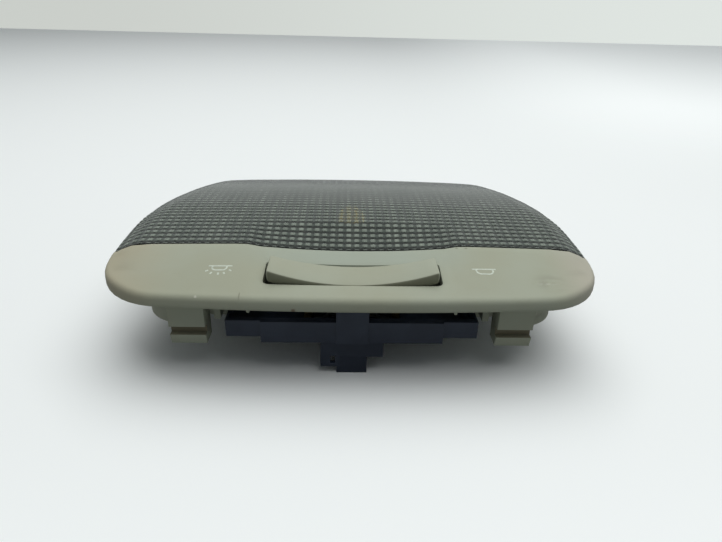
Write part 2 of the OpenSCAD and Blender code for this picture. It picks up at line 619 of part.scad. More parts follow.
// A blade on x with a run to the contact pad on the side it is named for
module pad_terminal(x, side) {
    pad = side * bridge_half;
    union() {
        strip_x(x) ribbon([[blade_y, blade_low], [blade_y, run_z + strip_t / 2]], strip_t);
        block([min(x, pad) - strip_w / 2, blade_y - strip_w / 2, plate_z],
            [max(x, pad) + strip_w / 2, blade_y + strip_w / 2, plate_z + strip_t]);
        block([pad - strip_w / 2, blade_y, plate_z],
            [pad + strip_w / 2, bridge_y1 + 0.5, plate_z + strip_t]);
        post(pad, (bridge_y0 + bridge_y1) / 2, plate_z, plate_z + strip_t + 1, 1);
    }
}
module terminal_ground() {
    pad_terminal(-blade_pitch, -1);
}
module terminal_door() {
    pad_terminal(blade_pitch, 1);
}
// Leaf spring under the tip of the rocker, with a valley for each of the three positions
module detent_leaf() {
    t = 0.3;
    step = (pivot_z - tip_z) * sin(rocker_tilt);
    crest = tip_z - tip_r - 0.3 - t / 2;
    dip = crest - 0.25;
    seat = plate_z + t / 2;
    arm = [[step / 2, crest], [step, dip], [2 * step, crest + 0.05], [7, crest - 0.1], [8.6, seat],
        [11.2, seat]];
    y0 = blade_y + strip_w / 2 + 0.2;
    along_y(y0, y0 + 2.6) ribbon(concat([for (p = flip(arm)) [-p[0], p[1]]], [[0, dip]], arm), t);
}

// Bulb: glass with a wedge base, folded leads, filament, holder and two contacts
holder_half_w = 8;
base_half_w = 4.75;
base_h = 1.1;
lead_r = 0.22;
lead_x = 2.6;
contact_x = 3.6;
contact_t = 0.4;
fold_z = bulb_z + base_h + lead_r;
coil_from_tip = 7;
coil_y = bulb_y + bulb_l - coil_from_tip;
module bulb_holder() {
    y0 = holder_y0;
    y1 = holder_y1;
    half = strip_w / 2 + 0.1;
    difference() {
        block([-holder_half_w, y0, floor_z], [holder_half_w, y1, bulb_z + 4.5]);
        block([-base_half_w - 0.2, bulb_y - 0.6, bulb_z - base_h - 0.1],
            [base_half_w + 0.2, y1 + 1, bulb_z + base_h + 0.1]);
        for (s = [-1, 1]) let(low = s < 0 ? bulb_z + base_h : bulb_z - base_h - 2.2) {
            block([s * contact_x - half, y0 - 1, floor_z - 1], [s * contact_x + half, y0 + 1.6, low + 2.2]);
            block([s * contact_x - half, y0 - 1, low], [s * contact_x + half, y1 + 1, low + 2.2]);
        }
        rod_y(0, y1 - 1.4, y1 + 1, bulb_z, bulb_d / 2 + 0.2, 48);
    }
}
// Contact on the side s that presses on the folded lead of the bulb's base
module bulb_contact(s, dir) {
    touch = bulb_z + dir * (base_h + 2 * lead_r + 0.05 + contact_t / 2);
    foot = low_z + strip_t / 2 + contact_t / 2;
    y = holder_y0 + 1.1;
    translate([s * contact_x, 0, 0]) strip_x(0) ribbon([[foot_y, foot], [y, foot],
        [y, touch + dir * 0.5], [bulb_y - 0.8, touch + dir * 0.5], [bulb_y + 2, touch],
        [bulb_y + 5.5, touch + dir * 0.5]], contact_t);
}
module bulb_contact_left() {
    bulb_contact(-1, 1);
}
module bulb_contact_right() {
    bulb_contact(1, -1);
}
module bulb_glass() {
    r = bulb_d / 2;
    t = 0.6;
    neck = 5.5;
    tip = bulb_l - r;
    function wall_line(r, tip, low) = concat([[0, low], [r * 0.55, low + 0.3],
        [r * 0.88, low + 1.3], [r, low + 3.1]], arc([0, tip], r, 0, 90, 5));
    difference() {
        union() {
            translate([0, bulb_y, bulb_z]) rotate([-90, 0, 0]) rotate_extrude($fn = 24)
                polygon(concat(wall_line(r, tip, neck), flip(wall_line(r - t, tip, neck + 1))));
            block([-base_half_w, bulb_y, bulb_z - base_h],
                [base_half_w, bulb_y + neck + 0.8, bulb_z + base_h]);
        }
        for (x = [-lead_x, lead_x]) rod_y(x, bulb_y - 1, coil_y, bulb_z, lead_r + 0.02, 16);
    }
}
module bulb_leads() {
    both() rod_y(lead_x, bulb_y - lead_r, coil_y, bulb_z, lead_r, 16);
    for (s = [-1, 1]) let(z = bulb_z - s * (base_h + lead_r)) {
        block([min(s * lead_x, s * contact_x) - lead_r, bulb_y - 2 * lead_r, bulb_z - lead_r],
            [max(s * lead_x, s * contact_x) + lead_r, bulb_y, bulb_z + lead_r]);
        block([s * contact_x - lead_r, bulb_y - 2 * lead_r, min(z, bulb_z) - lead_r],
            [s * contact_x + lead_r, bulb_y, max(z, bulb_z) + lead_r]);
        rod_y(s * contact_x, bulb_y - lead_r, bulb_y + 3.5, z, lead_r, 16);
    }
}
// Coiled filament drawn as a wire between the leads with one disc for each turn
module bulb_filament() {
    span = lead_x - lead_r;
    union() {
        translate([-span, coil_y - lead_r, bulb_z]) rotate([0, 90, 0])
            cylinder(r = 0.15, h = 2 * span, $fn = 16);
        for (i = [-3:3]) translate([i * 0.5 - 0.12, coil_y - lead_r, bulb_z]) rotate([0, 90, 0])
            cylinder(r = 0.5, h = 0.24, $fn = 16);
    }
}

// Rear clip: a bent spring on the rear wall that holds the light to the roof panel
clip_t = 0.6;
clip_half_w = 7;
clip_hole_z = rim_z - 6.5;
clip_hole_r = 1.6;
module rear_clip() {
    y = chamber_rear + clip_t / 2;
    difference() {
        along_x(-clip_half_w, clip_half_w) ribbon([[y, rim_z - 2.3], [y, chamber_z + 2.5],
            [y + 0.8, chamber_z + 1.6], [y + 2.2, chamber_z + 1.9], [y + 5.6, rim_z - 10.5],
            [y + 3.4, rim_z - 4], [y + 4.2, rim_z - 2.6]], clip_t);
        rod_y(0, chamber_rear - 1, chamber_rear + 2, clip_hole_z, clip_hole_r);
    }
}

warm = [0.72, 0.7, 0.6];
brass = [0.74, 0.62, 0.34];
steel = [0.62, 0.63, 0.64];
bright = [0.86, 0.86, 0.84];
glass = [0.85, 0.8, 0.62];
color(beige) housing();
color(smoke) lens();
color(bright) reflector();
color(beige) rocker();
color(slate) switch_carrier();
color(warm) bulb_holder();
color(glass) bulb_glass();
color(steel) bulb_filament();
color(steel) bulb_leads();
color(brass) bulb_contact_left();
color(brass) bulb_contact_right();
color(brass) terminal_supply();
color(brass) terminal_ground();
color(brass) terminal_door();
color(brass) switch_strip();
color(brass) contact_bridge();
color(steel) detent_leaf();
color(steel) rear_clip();
color(steel) carrier_screw(-1);  // carrier_screw_left
color(steel) carrier_screw(1);  // carrier_screw_right
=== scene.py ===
import itertools
import json
import math

import bmesh
import bpy
import numpy as np
from mathutils import Matrix, Vector

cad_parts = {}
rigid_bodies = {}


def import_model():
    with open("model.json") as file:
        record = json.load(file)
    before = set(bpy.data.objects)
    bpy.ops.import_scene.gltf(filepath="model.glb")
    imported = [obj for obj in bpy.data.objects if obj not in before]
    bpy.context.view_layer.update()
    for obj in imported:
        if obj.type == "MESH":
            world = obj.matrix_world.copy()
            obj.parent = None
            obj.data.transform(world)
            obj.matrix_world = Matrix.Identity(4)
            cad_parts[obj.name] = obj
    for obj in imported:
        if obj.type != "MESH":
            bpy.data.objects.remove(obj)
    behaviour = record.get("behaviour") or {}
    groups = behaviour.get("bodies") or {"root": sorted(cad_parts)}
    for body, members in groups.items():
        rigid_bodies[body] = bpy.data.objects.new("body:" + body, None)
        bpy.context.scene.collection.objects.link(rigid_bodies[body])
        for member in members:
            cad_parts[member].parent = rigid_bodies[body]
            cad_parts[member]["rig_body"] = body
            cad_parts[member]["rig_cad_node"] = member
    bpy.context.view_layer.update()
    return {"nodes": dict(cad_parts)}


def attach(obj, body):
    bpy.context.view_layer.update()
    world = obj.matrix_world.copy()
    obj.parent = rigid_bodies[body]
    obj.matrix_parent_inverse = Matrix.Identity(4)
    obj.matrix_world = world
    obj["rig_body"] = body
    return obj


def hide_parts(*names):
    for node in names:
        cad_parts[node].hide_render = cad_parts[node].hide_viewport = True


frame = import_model()
print("frame loaded")

mm = 0.001  # metres
scene = bpy.context.scene
scene.view_settings.view_transform = "Standard"


# A screen colour from 0 to 255 as linear values (the sRGB curve), with full alpha
def linear(r, g, b):
    shares = [c / 255 for c in (r, g, b)]
    return (*(s / 12.92 if s <= 0.04045 else ((s + 0.055) / 1.055) ** 2.4 for s in shares), 1.0)


# Shader maths: a Val is one output socket of a node tree, and +, -, *, / and the methods
# below add the nodes that work on it
class Val:
    def __init__(self, tree, socket):
        self.tree = tree
        self.socket = socket

    def feed(self, target):
        self.tree.links.new(self.socket, target)

    def math(self, operation, *others):
        return addNode(self.tree, "ShaderNodeMath", {"operation": operation}, self, *others)

    def __add__(self, other):
        return self.math("ADD", other)

    def __sub__(self, other):
        return self.math("SUBTRACT", other)

    def __mul__(self, other):
        return self.math("MULTIPLY", other)

    def __truediv__(self, other):
        return self.math("DIVIDE", other)

    def __rsub__(self, other):
        return addNode(self.tree, "ShaderNodeMath", {"operation": "SUBTRACT"}, other, self)

    def __rtruediv__(self, other):
        return addNode(self.tree, "ShaderNodeMath", {"operation": "DIVIDE"}, other, self)

    __radd__ = __add__
    __rmul__ = __mul__

    # 0 below low, 1 above high, with a soft step between them
    def step(self, low, high):
        smooth = {"interpolation_type": "SMOOTHSTEP"}
        return addNode(self.tree, "ShaderNodeMapRange", smooth, self, low, high, 0.0, 1.0)

    # A colour between two colours, self being the share of the second. The node's
    # sockets 6 and 7 and its output 2 are the ones for colours
    def mix(self, first, second):
        ends = {6: first, 7: second}
        return addNode(self.tree, "ShaderNodeMix", {"data_type": "RGBA"}, self, ends, output=2)


# Adds any node: its type, its settings, then its input sockets in order or by name
def addNode(tree, kind, settings, *inputs, output=0, **named):
    node = tree.nodes.new(kind)
    for key, value in settings.items():
        setattr(node, key, value)
    pairs = []
    for i, value in enumerate(inputs):
        pairs += list(value.items()) if isinstance(value, dict) else [(i, value)]
    pairs += [(key.replace("_", " "), value) for key, value in named.items()]
    for key, value in pairs:
        if isinstance(value, Val):
            value.feed(node.inputs[key])
        else:
            node.inputs[key].default_value = value
    return Val(tree, node.outputs[output])


# A material with a Principled shader, its texture coordinates in millimetres
class Finish:
    def __init__(self, name, **values):
        self.material = bpy.data.materials.new(name)
        self.material.use_nodes = True
        self.tree = self.material.node_tree
        self.shader = self.tree.nodes["Principled BSDF"]
        place = self.add("ShaderNodeTexCoord", {}, output=3)
        self.place = self.add("ShaderNodeVectorMath", {"operation": "SCALE"}, place, Scale=1000.0)
        axes = [self.add("ShaderNodeSeparateXYZ", {}, self.place, output=i) for i in range(3)]
        self.x, self.y, self.z = axes
        self.set(**values)

    def add(self, kind, settings, *inputs, **named):
        return addNode(self.tree, kind, settings, *inputs, **named)

    def set(self, **values):
        for key, value in values.items():
            socket = self.shader.inputs[key.replace("_", " ")]
            if isinstance(value, Val):
                value.feed(socket)
            else:
                socket.default_value = value

    # Noise with about one blob for each size millimetres, stretched by a factor for each axis
    def noise(self, size, detail=3.0, stretch=(1, 1, 1), shift=0.0):
        place = self.add("ShaderNodeVectorMath", {"operation": "MULTIPLY_ADD"}, self.place,
                         tuple(1 / s for s in stretch), (shift, shift, shift))
        return self.add("ShaderNodeTexNoise", {}, Vector=place, Scale=1 / size, Detail=detail)

    # 1 at a spot and 0 outside its radii, in millimetres on X and Y
    def spot(self, x, y, rx, ry, edge=0.5):
        u = (self.x - x) / rx
        v = (self.y - y) / ry
        return 1 - (u * u + v * v).math("SQRT").step(1 - edge, 1.0)

    def bump(self, height, distance):
        self.set(Normal=self.add("ShaderNodeBump", {}, Strength=1.0, Distance=distance * mm, Height=height))


# The outline and the skin of the light, the same in plan and height as the CAD part
body = {"rear": 51.6, "crown": 35.8, "crownY": 0.75, "ry": 190.0, "rx": 2400.0,
        "sideX": -147.5, "sideY": -33.5, "sideR": 220.0, "rollW": 10.0, "rollDrop": 3.5,
        "scoopY": -30.25, "scoopHalf": 18.0, "scoopDepth": 2.3, "scoopW": 33.0, "scoopIn": 26.0,
        "share": 0.46}
# Arcs of the right half of the outline: centre, radius, first and last angle
arcs = [((0.0, 658.4), 710.0, -90.0, -85.6788), ((51.9524, -29.14), 20.5, -85.6788, 1.2523),
        ((-147.5, -33.5), 220.0, 1.2523, 15.9993), ((35.5248, 18.9792), 29.6, 15.9993, 80.2794),
        ((0.0, -188.4), 240.0, 80.2794, 90.0)]


# Height of the skin in millimetres
def skin(x, y):
    x, y = np.abs(np.asarray(x, float)), np.asarray(y, float)
    b = body
    crown = b["crown"] - b["ry"] + np.sqrt(b["ry"] ** 2 - (y - b["crownY"]) ** 2)
    crown = crown - b["rx"] + np.sqrt(b["rx"] ** 2 - x ** 2)
    side = b["sideX"] + np.sqrt(b["sideR"] ** 2 - (y - b["sideY"]) ** 2)
    roll = b["rollDrop"] * (np.maximum(0, b["rollW"] + x - side) / b["rollW"]) ** 2
    outer = b["share"] * (0.5 + 0.5 * np.cos(np.pi * (x - b["scoopIn"]) / (b["scoopW"] - b["scoopIn"])))
    across = np.where(x >= b["scoopW"], 0, np.where(x > b["scoopIn"], outer,
                      1 - (1 - b["share"]) * (x / b["scoopIn"]) ** 2))
    along = np.maximum(0, 1 - ((y - b["scoopY"]) / b["scoopHalf"]) ** 2)
    return crown - roll - b["scoopDepth"] * across * along


# The outline inset by a distance, counter-clockwise, with a point for each 1.2 mm
def outline(inset):
    half = []
    for (cx, cy), r, first, last in arcs:
        count = max(2, int((r - inset) * math.radians(last - first) / 1.2))
        for i in range(count):
            a = math.radians(first + (last - first) * i / count)
            half.append((cx + (r - inset) * math.cos(a), cy + (r - inset) * math.sin(a)))
    return half + [(0.0, body["rear"] - inset)] + [(-x, y) for x, y in reversed(half[1:])]


# The outward direction of the outline at a point that lies on it, inset by a distance
def outward(x, y, inset):
    found = []
    for (cx, cy), r, first, last in arcs:
        a = math.degrees(math.atan2(y - cy, abs(x) - cx))
        miss = max(first - a, a - last, 0) + abs(math.hypot(abs(x) - cx, y - cy) - r + inset)
        found.append((miss, math.copysign(math.cos(math.radians(a)), x), math.sin(math.radians(a))))
    return min(found)[1:]


# Inset of a point from the outline, with the outward direction there
def insetOf(x, y):
    found = []
    for (cx, cy), r, first, last in arcs:
        a = math.degrees(math.atan2(y - cy, abs(x) - cx))
        if first - 0.01 <= a <= last + 0.01:
            inset = r - math.hypot(abs(x) - cx, y - cy)
            a = math.radians(a)
            found.append((inset, math.copysign(math.cos(a), x), math.sin(a)))
    return min(found)


def meshObject(name, points, faces, smooth=True):
    mesh = bpy.data.meshes.new(name)
    mesh.from_pydata([tuple(p) for p in points], [], [tuple(int(i) for i in f) for f in faces])
    mesh.validate()
    mesh.polygons.foreach_set("use_smooth", [smooth] * len(mesh.polygons))
    piece = bpy.data.objects.new(name, mesh)
    scene.collection.objects.link(piece)
    return piece


# For every copy of a CAD node: points nearer than join (mm) become one, faces within flat
# (degrees) one face, and edges sharper than sharp (degrees) are rounded, by small (mm) on the
# inner pieces
copies = {"join": 0.002, "flat": 0.3, "sharp": 35.0, "segments": 2, "small": 0.06}


# A copy of a CAD node with rounded edges and smooth shading, which stands for it
def dressed(name, node, finish, rides, edge=0.0):
    piece = frame["nodes"][node].copy()
    piece.data = piece.data.copy()
    piece.parent = None
    piece.name = name
    scene.collection.objects.link(piece)
    work = bmesh.new()
    work.from_mesh(piece.data)
    bmesh.ops.remove_doubles(work, verts=work.verts, dist=copies["join"] * mm)
    bmesh.ops.dissolve_limit(work, angle_limit=math.radians(copies["flat"]), verts=work.verts,
                             edges=work.edges)
    work.to_mesh(piece.data)
    work.free()
    piece.data.materials.clear()
    piece.data.materials.append(finish.material)
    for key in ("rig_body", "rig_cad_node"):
        if key in piece:
            del piece[key]
    bpy.context.view_layer.objects.active = piece
    if edge:
        bevel = piece.modifiers.new("edge", "BEVEL")
        bevel.width = edge * mm
        bevel.segments = copies["segments"]
        bevel.limit_method = "ANGLE"
        bevel.angle_limit = math.radians(copies["sharp"])
    piece.data.polygons.foreach_set("use_smooth", [True] * len(piece.data.polygons))
    with bpy.context.temp_override(object=piece, active_object=piece, selected_objects=[piece],
                                   selected_editable_objects=[piece]):
        bpy.ops.object.shade_auto_smooth(angle=math.radians(copies["sharp"]))
    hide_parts(node)
    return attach(piece, rides)


# Bezel and housing: colours, among them the painted shade of the tower notches and of the rocker's front
# face, places of wear as x, y and the radii there, and the changes of shape against the CAD part
moulding = {
    "top": linear(160, 165, 148), "cloud": linear(157, 160, 141), "tan": linear(168, 157, 132),
    "pink": linear(178, 171, 158), "centre": linear(155, 166, 155), "smear": linear(120, 120, 108),
    "scuff": linear(190, 190, 176), "greyLine": linear(95, 96, 84), "brown": linear(92, 60, 44),
    "white": linear(214, 214, 202), "nick": linear(96, 94, 80), "notch": linear(104, 94, 72),
    "paintedShade": linear(112, 114, 96), "speck": linear(110, 110, 96), "roughness": 0.5,
    "centreAt": (0.0, -30.0, 48.0, 12.0), "smearAt": (55.6, -42.6, 6.4, 4.8),
    "scuffAt": (54.5, -43.2, 4.2, 0.5), "greyLineAt": (-30.6, -49.5, 0.28, 1.5),
    "brownAt": (-16.1, -51.3, 0.8, 0.9), "whiteAt": (-42.2, -49.9, 0.5, 0.6),
    "nicksAt": ((31.3, -27.2), (34.05, -27.4)),
    "edge": 0.22, "upperRadius": (2.6, 1.8), "lowerRadius": (1.9, 1.2), "rimZ": 24.5,
    "partingY": -26.6, "lowerRear": -28.5, "towerX": 46.8,
    "notchBox": ((-5.3, -47.0, 13.5), (5.3, -43.7, 16.05)),
    "spaceBox": ((37.8, -46.0, 15.0), (41.69, -41.6, 24.4)),
    "nibs": {"nibLeft": -28.7, "nibRight": 28.4}, "nibY": -48.4, "nibLow": 22.9, "nibHalf": 0.5}


# The beige moulding. With wear it has the marks of the bezel, and in front of the given y it is painted
# darker, as painted shade on a face that looks forward
def beige(name, wear, paintedShadeFrom=None):
    m = moulding
    finish = Finish(name, Specular_IOR_Level=0.35)
    cloud = finish.noise(22.0, 4.0)
    colour = cloud.step(0.35, 0.7).mix(m["top"], m["cloud"])
    if wear:
        leftEnd = finish.x.step(-46.0, -72.0) * (0.3 + cloud * 0.6)
        rightEnd = finish.x.step(54.0, 72.0) * (0.3 + cloud * 0.7)
        colour = leftEnd.math("MINIMUM", 0.6).mix(colour, m["tan"])
        colour = rightEnd.math("MINIMUM", 0.7).mix(colour, m["pink"])
        blotch = finish.noise(2.6, 4.0, (2.2, 1.0, 1.0)).step(0.42, 0.62)
        colour = (finish.spot(*m["smearAt"], 0.9) * blotch * 0.38).mix(colour, m["smear"])
        blotch = finish.noise(1.4, 3.0, shift=5.0).step(0.4, 0.6)
        colour = (finish.spot(*m["scuffAt"], 0.8) * blotch * 0.4).mix(colour, m["scuff"])
        colour = (finish.spot(*m["greyLineAt"], 0.6) * 0.5).mix(colour, m["greyLine"])
        brown = finish.spot(*m["brownAt"], 0.7) * finish.z.step(26.0, 25.6)
        colour = (brown * 0.7).mix(colour, m["brown"])
        white = finish.spot(*m["whiteAt"], 0.7) * finish.z.step(28.0, 28.3)
        colour = (white * 0.6).mix(colour, m["white"])
        colour = (finish.spot(*m["centreAt"], 0.9) * 0.6).mix(colour, m["centre"])
        for x, y in m["nicksAt"]:
            colour = (finish.spot(x, y, 0.7, 0.5, 0.7) * 0.6).mix(colour, m["nick"])
    # Painted shade: the walls of the tower notches are painted darker, as shade under their overhang
    across = finish.x.math("ABSOLUTE")
    notch = finish.z.step(13.3, 13.6) * finish.z.step(16.3, 16.0) * across.step(41.4, 41.6)
    notch = notch * across.step(52.3, 52.1) * finish.y.step(-43.0, -43.5)
    colour = (notch * 0.8).mix(colour, m["notch"])
    # Painted shade: in front of the given y the colour is painted darker
    if paintedShadeFrom is not None:
        colour = finish.y.step(paintedShadeFrom, paintedShadeFrom - 0.35).mix(colour, m["paintedShade"])
    speck = finish.noise(0.55, 2.0, shift=7.0).step(0.7, 0.78)
    colour = (speck * 0.16).mix(colour, m["speck"])
    finish.set(Base_Color=colour, Roughness=m["roughness"] + finish.noise(6.0, 3.0) * 0.12)
    finish.bump(finish.noise(0.32, 3.0, shift=3.0) + finish.noise(3.0, 2.0) * 0.6, 0.018)
    return finish


# Cuts boxes, given by their low and high corners, out of a piece that has its CAD shape
def cutBoxes(piece, boxes):
    cutters = []
    sides = [(0, 1, 3, 2), (4, 6, 7, 5), (0, 4, 5, 1), (2, 3, 7, 6), (0, 2, 6, 4), (1, 5, 7, 3)]
    for box in boxes:
        corners = [Vector(corner) * mm for corner in itertools.product(*zip(*box))]
        cutter = meshObject("cutter", corners, sides, False)
        cut = piece.modifiers.new("cut", "BOOLEAN")
        cut.object = cutter
        cut.operation = "DIFFERENCE"
        cut.solver = "EXACT"
        with bpy.context.temp_override(object=piece, active_object=piece, selected_objects=[piece]):
            bpy.ops.object.modifier_move_to_index(modifier="cut", index=0)
            bpy.ops.object.modifier_apply(modifier="cut")
        cutters.append(cutter)
    for cutter in cutters:
        mesh = cutter.data
        bpy.data.objects.remove(cutter)
        bpy.data.meshes.remove(mesh)


# Gives the bezel's rounded edges the smaller radii of the photo. Points near the upper edge
# slide along the skin, points near the lower edge towards the rim
def tighten(piece):
    m = moulding
    (wasUpper, upper), (wasLower, lower), rimZ = m["upperRadius"], m["lowerRadius"], m["rimZ"]
    for v in piece.data.vertices:
        x, y, z = v.co / mm
        if y > m["partingY"] + 0.3 or z < rimZ - 0.01:
            continue
        d, nx, ny = insetOf(x, y)
        if abs(y - m["partingY"]) < 0.02:
            ny = 0.0
        drop = float(skin(x - nx * (wasUpper - d), y - ny * (wasUpper - d))) - z
        if d < wasUpper + 0.02 and drop < wasUpper + 0.05:
            shift = d * (1 - upper / wasUpper)
            inner = d - upper
            z = float(skin(x + nx * inner, y + ny * inner)) - drop * upper / wasUpper
        elif y < m["lowerRear"] and d < wasLower + 0.02 and z < rimZ + wasLower + 0.02:
            shift = d * (1 - lower / wasLower)
            z = rimZ + (z - rimZ) * lower / wasLower
        else:
            continue
        v.co = Vector((x + nx * shift, y + ny * shift, z)) * mm


# Boxes that deepen the notches of the snap towers and open the space beside the carrier
def towerBoxes():
    (x0, y0, z0), (x1, y1, z1) = moulding["notchBox"]
    centres = [side * moulding["towerX"] for side in (-1, 1)]
    boxes = [((x + x0, y0, z0), (x + x1, y1, z1)) for x in centres]
    (x0, y0, z0), (x1, y1, z1) = moulding["spaceBox"]
    return boxes + [((-x1, y0, z0), (-x0, y1, z1)), ((x0, y0, z0), (x1, y1, z1))]


# A small nib under the front edge of the bezel
def nib(name, x, finish):
    m = moulding
    corners = ((-1, -1), (1, -1), (1, 1), (-1, 1))
    levels = ((m["rimZ"], 1.0), (m["nibLow"] + 0.3, 0.85), (m["nibLow"], 0.5))
    points = [Vector((x + i * m["nibHalf"] * share, m["nibY"] + j * m["nibHalf"] * share, z)) * mm
              for z, share in levels for i, j in corners]
    faces = [(0, 1, 2, 3), (11, 10, 9, 8)]
    for first in (0, 4):
        for i in range(4):
            after = (i + 1) % 4
            faces.append((first + 4 + i, first + 4 + after, first + after, first + i))
    piece = meshObject(name, points, faces, False)
    piece.data.materials.append(finish.material)
    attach(piece, "base")


bezelFinish = beige("beigeMoulding", True)
housingShell = dressed("housingShell", "housing", bezelFinish, "base",
                       edge=moulding["edge"])
tighten(housingShell)
cutBoxes(housingShell, towerBoxes())
for name, x in moulding["nibs"].items():
    nib(name, x, bezelFinish)
print("housing done")

# Lens: sizes in millimetres, and its colours, with painted glints on the cells, a painted sheen along the
# rows and painted shade at the front
prism = {"pitch": 2.5, "height": 0.4, "parts": 4, "frontY": -26.1, "base": 26.2, "edge": 1.8,
         "wall": 1.6, "sharp": 28.0, "fadeFrom": -8.0, "fadeTo": 16.0, "rearShare": 0.12,
         "smoke": (linear(30, 35, 32), linear(46, 50, 45)), "row": linear(88, 98, 90),
         "cell": linear(190, 202, 188), "paintedGapShade": linear(8, 9, 8),
         "border": (linear(24, 27, 25), linear(66, 72, 66)), "alpha": 0.84}


# Height of the pillow prisms above their valleys, lower towards the rear; the lens is cut
# through the middle of a row
def pillow(x, y):
    u = np.abs(np.sin(np.pi * np.asarray(x) / prism["pitch"]))
    v = np.abs(np.cos(np.pi * (np.asarray(y) - prism["frontY"]) / prism["pitch"]))
    t = np.clip((np.asarray(y) - prism["fadeFrom"]) / (prism["fadeTo"] - prism["fadeFrom"]), 0, 1)
    share = 1 - (1 - prism["rearShare"]) * t * t * (3 - 2 * t)
    return prism["height"] * share * (u * v) ** 0.8


# The top is a grid of fine squares cut to the outline, and its edge is rounded down to the foot
def buildLens():
    p = prism
    step = p["pitch"] / p["parts"]
    a = np.array(outline(p["edge"]))
    along = np.roll(a, -1, axis=0) - a
    normals = np.stack([along[:, 1], -along[:, 0]], 1) / np.linalg.norm(along, axis=1)[:, None]
    offsets = (normals * a).sum(1)
    xs = np.arange(-math.ceil(72 / step), math.ceil(72 / step) + 1) * step
    ys = p["frontY"] + np.arange(0, math.ceil(78 / step) + 1) * step
    gx, gy = np.meshgrid(xs, ys)
    far = gx[..., None] * normals[:, 0] + gy[..., None] * normals[:, 1] - offsets
    inside = (far <= 1e-9).all(-1)
    places, index, faces = [], {}, []

    def point(x, y):
        key = (round(x, 4), round(y, 4))
        if key not in index:
            index[key] = len(places)
            places.append((x, y))
        return index[key]

    for j in range(len(ys) - 1):
        for i in range(len(xs) - 1):
            corners = [(j, i), (j, i + 1), (j + 1, i + 1), (j + 1, i)]
            ring = [(gx[c], gy[c]) for c in corners]
            if not all(inside[c] for c in corners):
                over = np.max([far[c] for c in corners], axis=0) > 0
                for k in np.flatnonzero(over):
                    cut = []
                    for (x0, y0), (x1, y1) in zip(ring, ring[1:] + ring[:1]):
                        d0 = x0 * normals[k, 0] + y0 * normals[k, 1] - offsets[k]
                        d1 = x1 * normals[k, 0] + y1 * normals[k, 1] - offsets[k]
                        if d0 <= 0:
                            cut.append((x0, y0))
                        if (d0 < 0 < d1) or (d1 < 0 < d0):
                            cut.append((x0 + (x1 - x0) * d0 / (d0 - d1), y0 + (y1 - y0) * d0 / (d0 - d1)))
                    ring = cut
                    if len(ring) < 3:
                        break
            face = [point(x, y) for x, y in ring]
            face = [v for n, v in enumerate(face) if v != face[n - 1]]
            if len(face) > 2:
                faces.append(face)
    x, y = np.array(places).T
    low = skin(x, y) - p["height"]
    lift = pillow(x, y)
    points = list(zip(x, y, low + lift))
    used = {(f[n - 1], f[n]) for f in faces for n in range(len(f))}
    rim = [(a, b) for a, b in used if (b, a) not in used]
    levels = [(p["edge"] * (1 - math.sin(t)), p["edge"] * (1 - math.cos(t)), math.cos(t))
              for t in np.radians([18, 36, 54, 72, 90])]
    frontHalf = max(abs(x[np.abs(y - p["frontY"]) < 1e-6]))
    columns = {}
    for v in {v for edge in rim for v in edge}:
        if abs(y[v] - p["frontY"]) < 1e-6:
            nx, ny = (math.copysign(1.0, x[v]) if abs(x[v]) > frontHalf - 1e-3 else 0.0), 0.0
        else:
            nx, ny = outward(x[v], y[v], p["edge"])
        column = [v]
        for inset, drop, share in levels:
            column.append(len(points))
            points.append((x[v] + nx * (p["edge"] - inset), y[v] + ny * (p["edge"] - inset),
                           low[v] + lift[v] * share - drop))
        column.append(len(points))
        points.append((x[v] + nx * p["edge"], y[v] + ny * p["edge"], p["base"]))
        columns[v] = column
    for a, b in rim:
        for k in range(len(levels) + 1):
            faces.append((columns[b][k], columns[a][k], columns[a][k + 1], columns[b][k + 1]))
    return [Vector(q) * mm for q in points], faces


def lensFinish():
    p = prism
    finish = Finish("smokedLens", IOR=1.49, Specular_IOR_Level=0.06, Coat_IOR=1.5, Coat_Roughness=0.12)
    streak = finish.noise(7.0, 3.0, (0.35, 5.0, 1.0)).step(0.3, 0.75)
    column = (finish.x * (math.pi / p["pitch"])).math("SINE").math("ABSOLUTE")
    row = ((finish.y - p["frontY"]) * (math.pi / p["pitch"])).math("COSINE").math("ABSOLUTE")
    # The painted glints and sheen of the cells fade towards the rear
    shown = finish.y.step(p["fadeTo"], p["fadeFrom"]) * 0.75 + 0.25
    colour = streak.mix(*p["smoke"])
    # Painted sheen: a lighter band along each row
    colour = (row.step(0.4, 0.95) * shown * 0.6).mix(colour, p["row"])
    # Painted glints: a light spot in the middle of each cell
    spot = row.step(0.55, 0.98) * column.step(0.45, 0.98) * shown
    colour = (spot * (0.62 + streak * 0.38)).mix(colour, p["cell"])
    # Painted shade: the front wall at the parting is painted dark, less so under the cells
    wall = finish.y.step(p["frontY"] + 1.3, p["frontY"] + 0.5) * (1 - column.step(0.45, 0.9) * 0.75)
    paintedGapShade = (wall + finish.y.step(p["frontY"] + 0.3, p["frontY"])).math("MINIMUM", 1.0)
    colour = paintedGapShade.mix(colour, p["paintedGapShade"])
    # How far a point lies below the crown, which is large along the sides and the rear edge
    a = finish.y - body["crownY"]
    drop = body["crown"] - a * a / (2 * body["ry"]) - finish.x * finish.x / (2 * body["rx"]) - finish.z
    beside = finish.x.math("ABSOLUTE").step(34.0, 42.0).math("MAXIMUM", finish.y.step(0.0, 8.0))
    border = drop.step(1.0, 3.4) * beside
    colour = (border * 0.7).mix(colour, row.step(0.3, 0.9).mix(*p["border"]))
    # More light passes through the middle of each cell
    finish.set(Base_Color=colour, Alpha=p["alpha"] + border * 0.14 - spot * (1 - border) * 0.42,
               Coat_Weight=(0.85 - border * 0.6) * (1 - paintedGapShade * 0.9),
               Roughness=0.25 + finish.noise(9.0, 3.0) * 0.08)
    return finish


